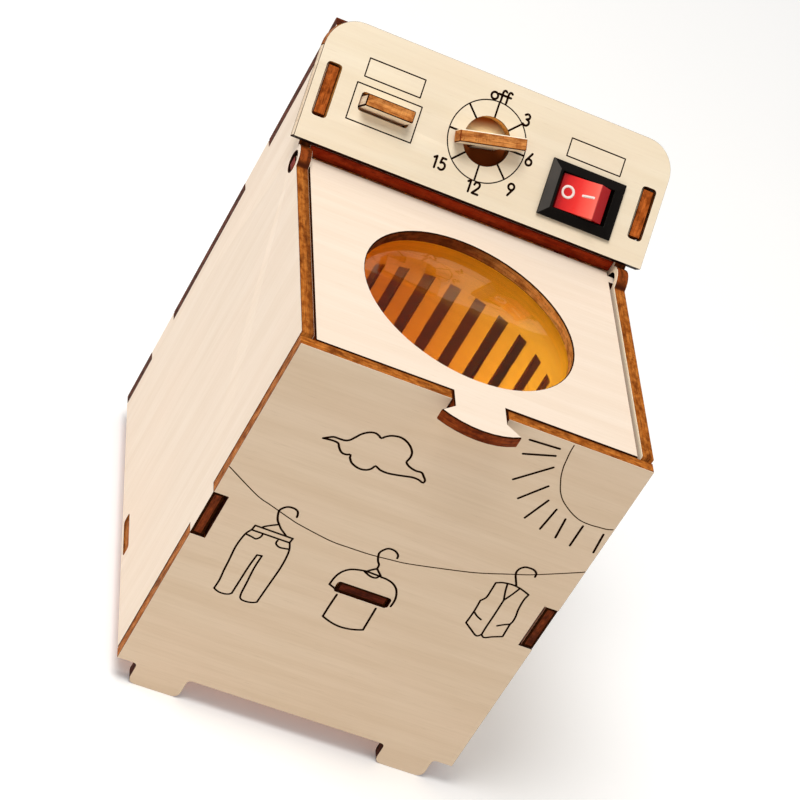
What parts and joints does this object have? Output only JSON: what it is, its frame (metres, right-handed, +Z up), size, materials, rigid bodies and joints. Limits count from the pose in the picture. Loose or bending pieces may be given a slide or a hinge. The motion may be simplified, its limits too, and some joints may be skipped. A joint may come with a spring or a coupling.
{
  "type": "toy washing machine",
  "caption": "Small top-loading toy washing machine of slotted boards, with a hinged windowed lid, a slotted drum on a motor, and a sloped panel with a dial, a press tab and a rocker switch.",
  "frame": {"origin": "centre of the bounding box at its base, on the plane of the feet", "axes": "+X to the right seen from the front, +Y towards the back, +Z up"},
  "size_m": [0.0984, 0.1138, 0.1436],
  "materials": {
    "board": "pale thin plywood, laser-cut with scorched brown edges",
    "basket_wood": "plain pale wood",
    "amber_sheet": "clear amber sheet, glossy",
    "steel": "plain bright steel",
    "brass": "bright",
    "black_plastic": "satin black",
    "red_plastic": "glossy red",
    "white_plastic": "satin white",
    "cell_sleeve": "plain printed sleeve",
    "red_sleeve": "red insulation",
    "black_sleeve": "black insulation"
  },
  "bodies": {
    "machine": {"front_panel": "board", "back_panel": "board", "left_side_panel": "board", "right_side_panel": "board", "floor_panel": "board", "motor_shelf": "board", "console_rail": "board", "console_panel": "board", "switch_housing": "black_plastic", "switch_blade_left": "brass", "switch_blade_right": "brass", "motor_can": "steel", "motor_end_cap": "white_plastic", "motor_terminal_left": "brass", "motor_terminal_right": "brass", "motor_collar": "board", "battery_holder": "black_plastic", "battery_lower": "cell_sleeve", "battery_upper": "cell_sleeve", "battery_contact_lower_left": "steel", "battery_contact_lower_right": "steel", "battery_contact_upper_left": "steel", "battery_contact_upper_right": "steel", "wire_battery_switch": "red_sleeve", "wire_switch_motor": "red_sleeve", "wire_battery_motor": "black_sleeve"},
    "lid": {"lid_panel": "board", "lid_window": "amber_sheet"},
    "knob": {"knob_bar": "board", "knob_disc": "board"},
    "press_tab": {"press_button": "board"},
    "rocker": {"switch_rocker": "red_plastic"},
    "drum": {"motor_shaft": "steel", "drive_hub": "white_plastic", "basket_floor": "basket_wood", "basket_wall": "basket_wood"}
  },
  "joints": [
    {"name": "lid_hinge", "type": "hinge", "parent": "machine", "child": "lid", "pos_m": [0, 0.02832, 0.1115], "axis": [-1, 0, 0], "range_deg": [0, 85]},
    {"name": "knob_turn", "type": "hinge", "parent": "machine", "child": "knob", "pos_m": [-0.001, 0.04017, 0.13096], "axis": [0, -0.766, 0.6428], "continuous": true},
    {"name": "tab_press", "type": "slide", "parent": "machine", "child": "press_tab", "axis": [0, 0.766, -0.6428], "range_m": [0, 0.003], "stiffness_N_per_m": 60, "springref_m": -0.001},
    {"name": "rocker_tilt", "type": "hinge", "parent": "machine", "child": "rocker", "pos_m": [0.0278, 0.03787, 0.12636], "axis": [0, 0.6428, 0.766], "range_deg": [0, 36]},
    {"name": "drum_spin", "type": "hinge", "parent": "machine", "child": "drum", "pos_m": [0, -0.00547, 0.05], "axis": [0, 0, 1], "continuous": true}
  ]
}
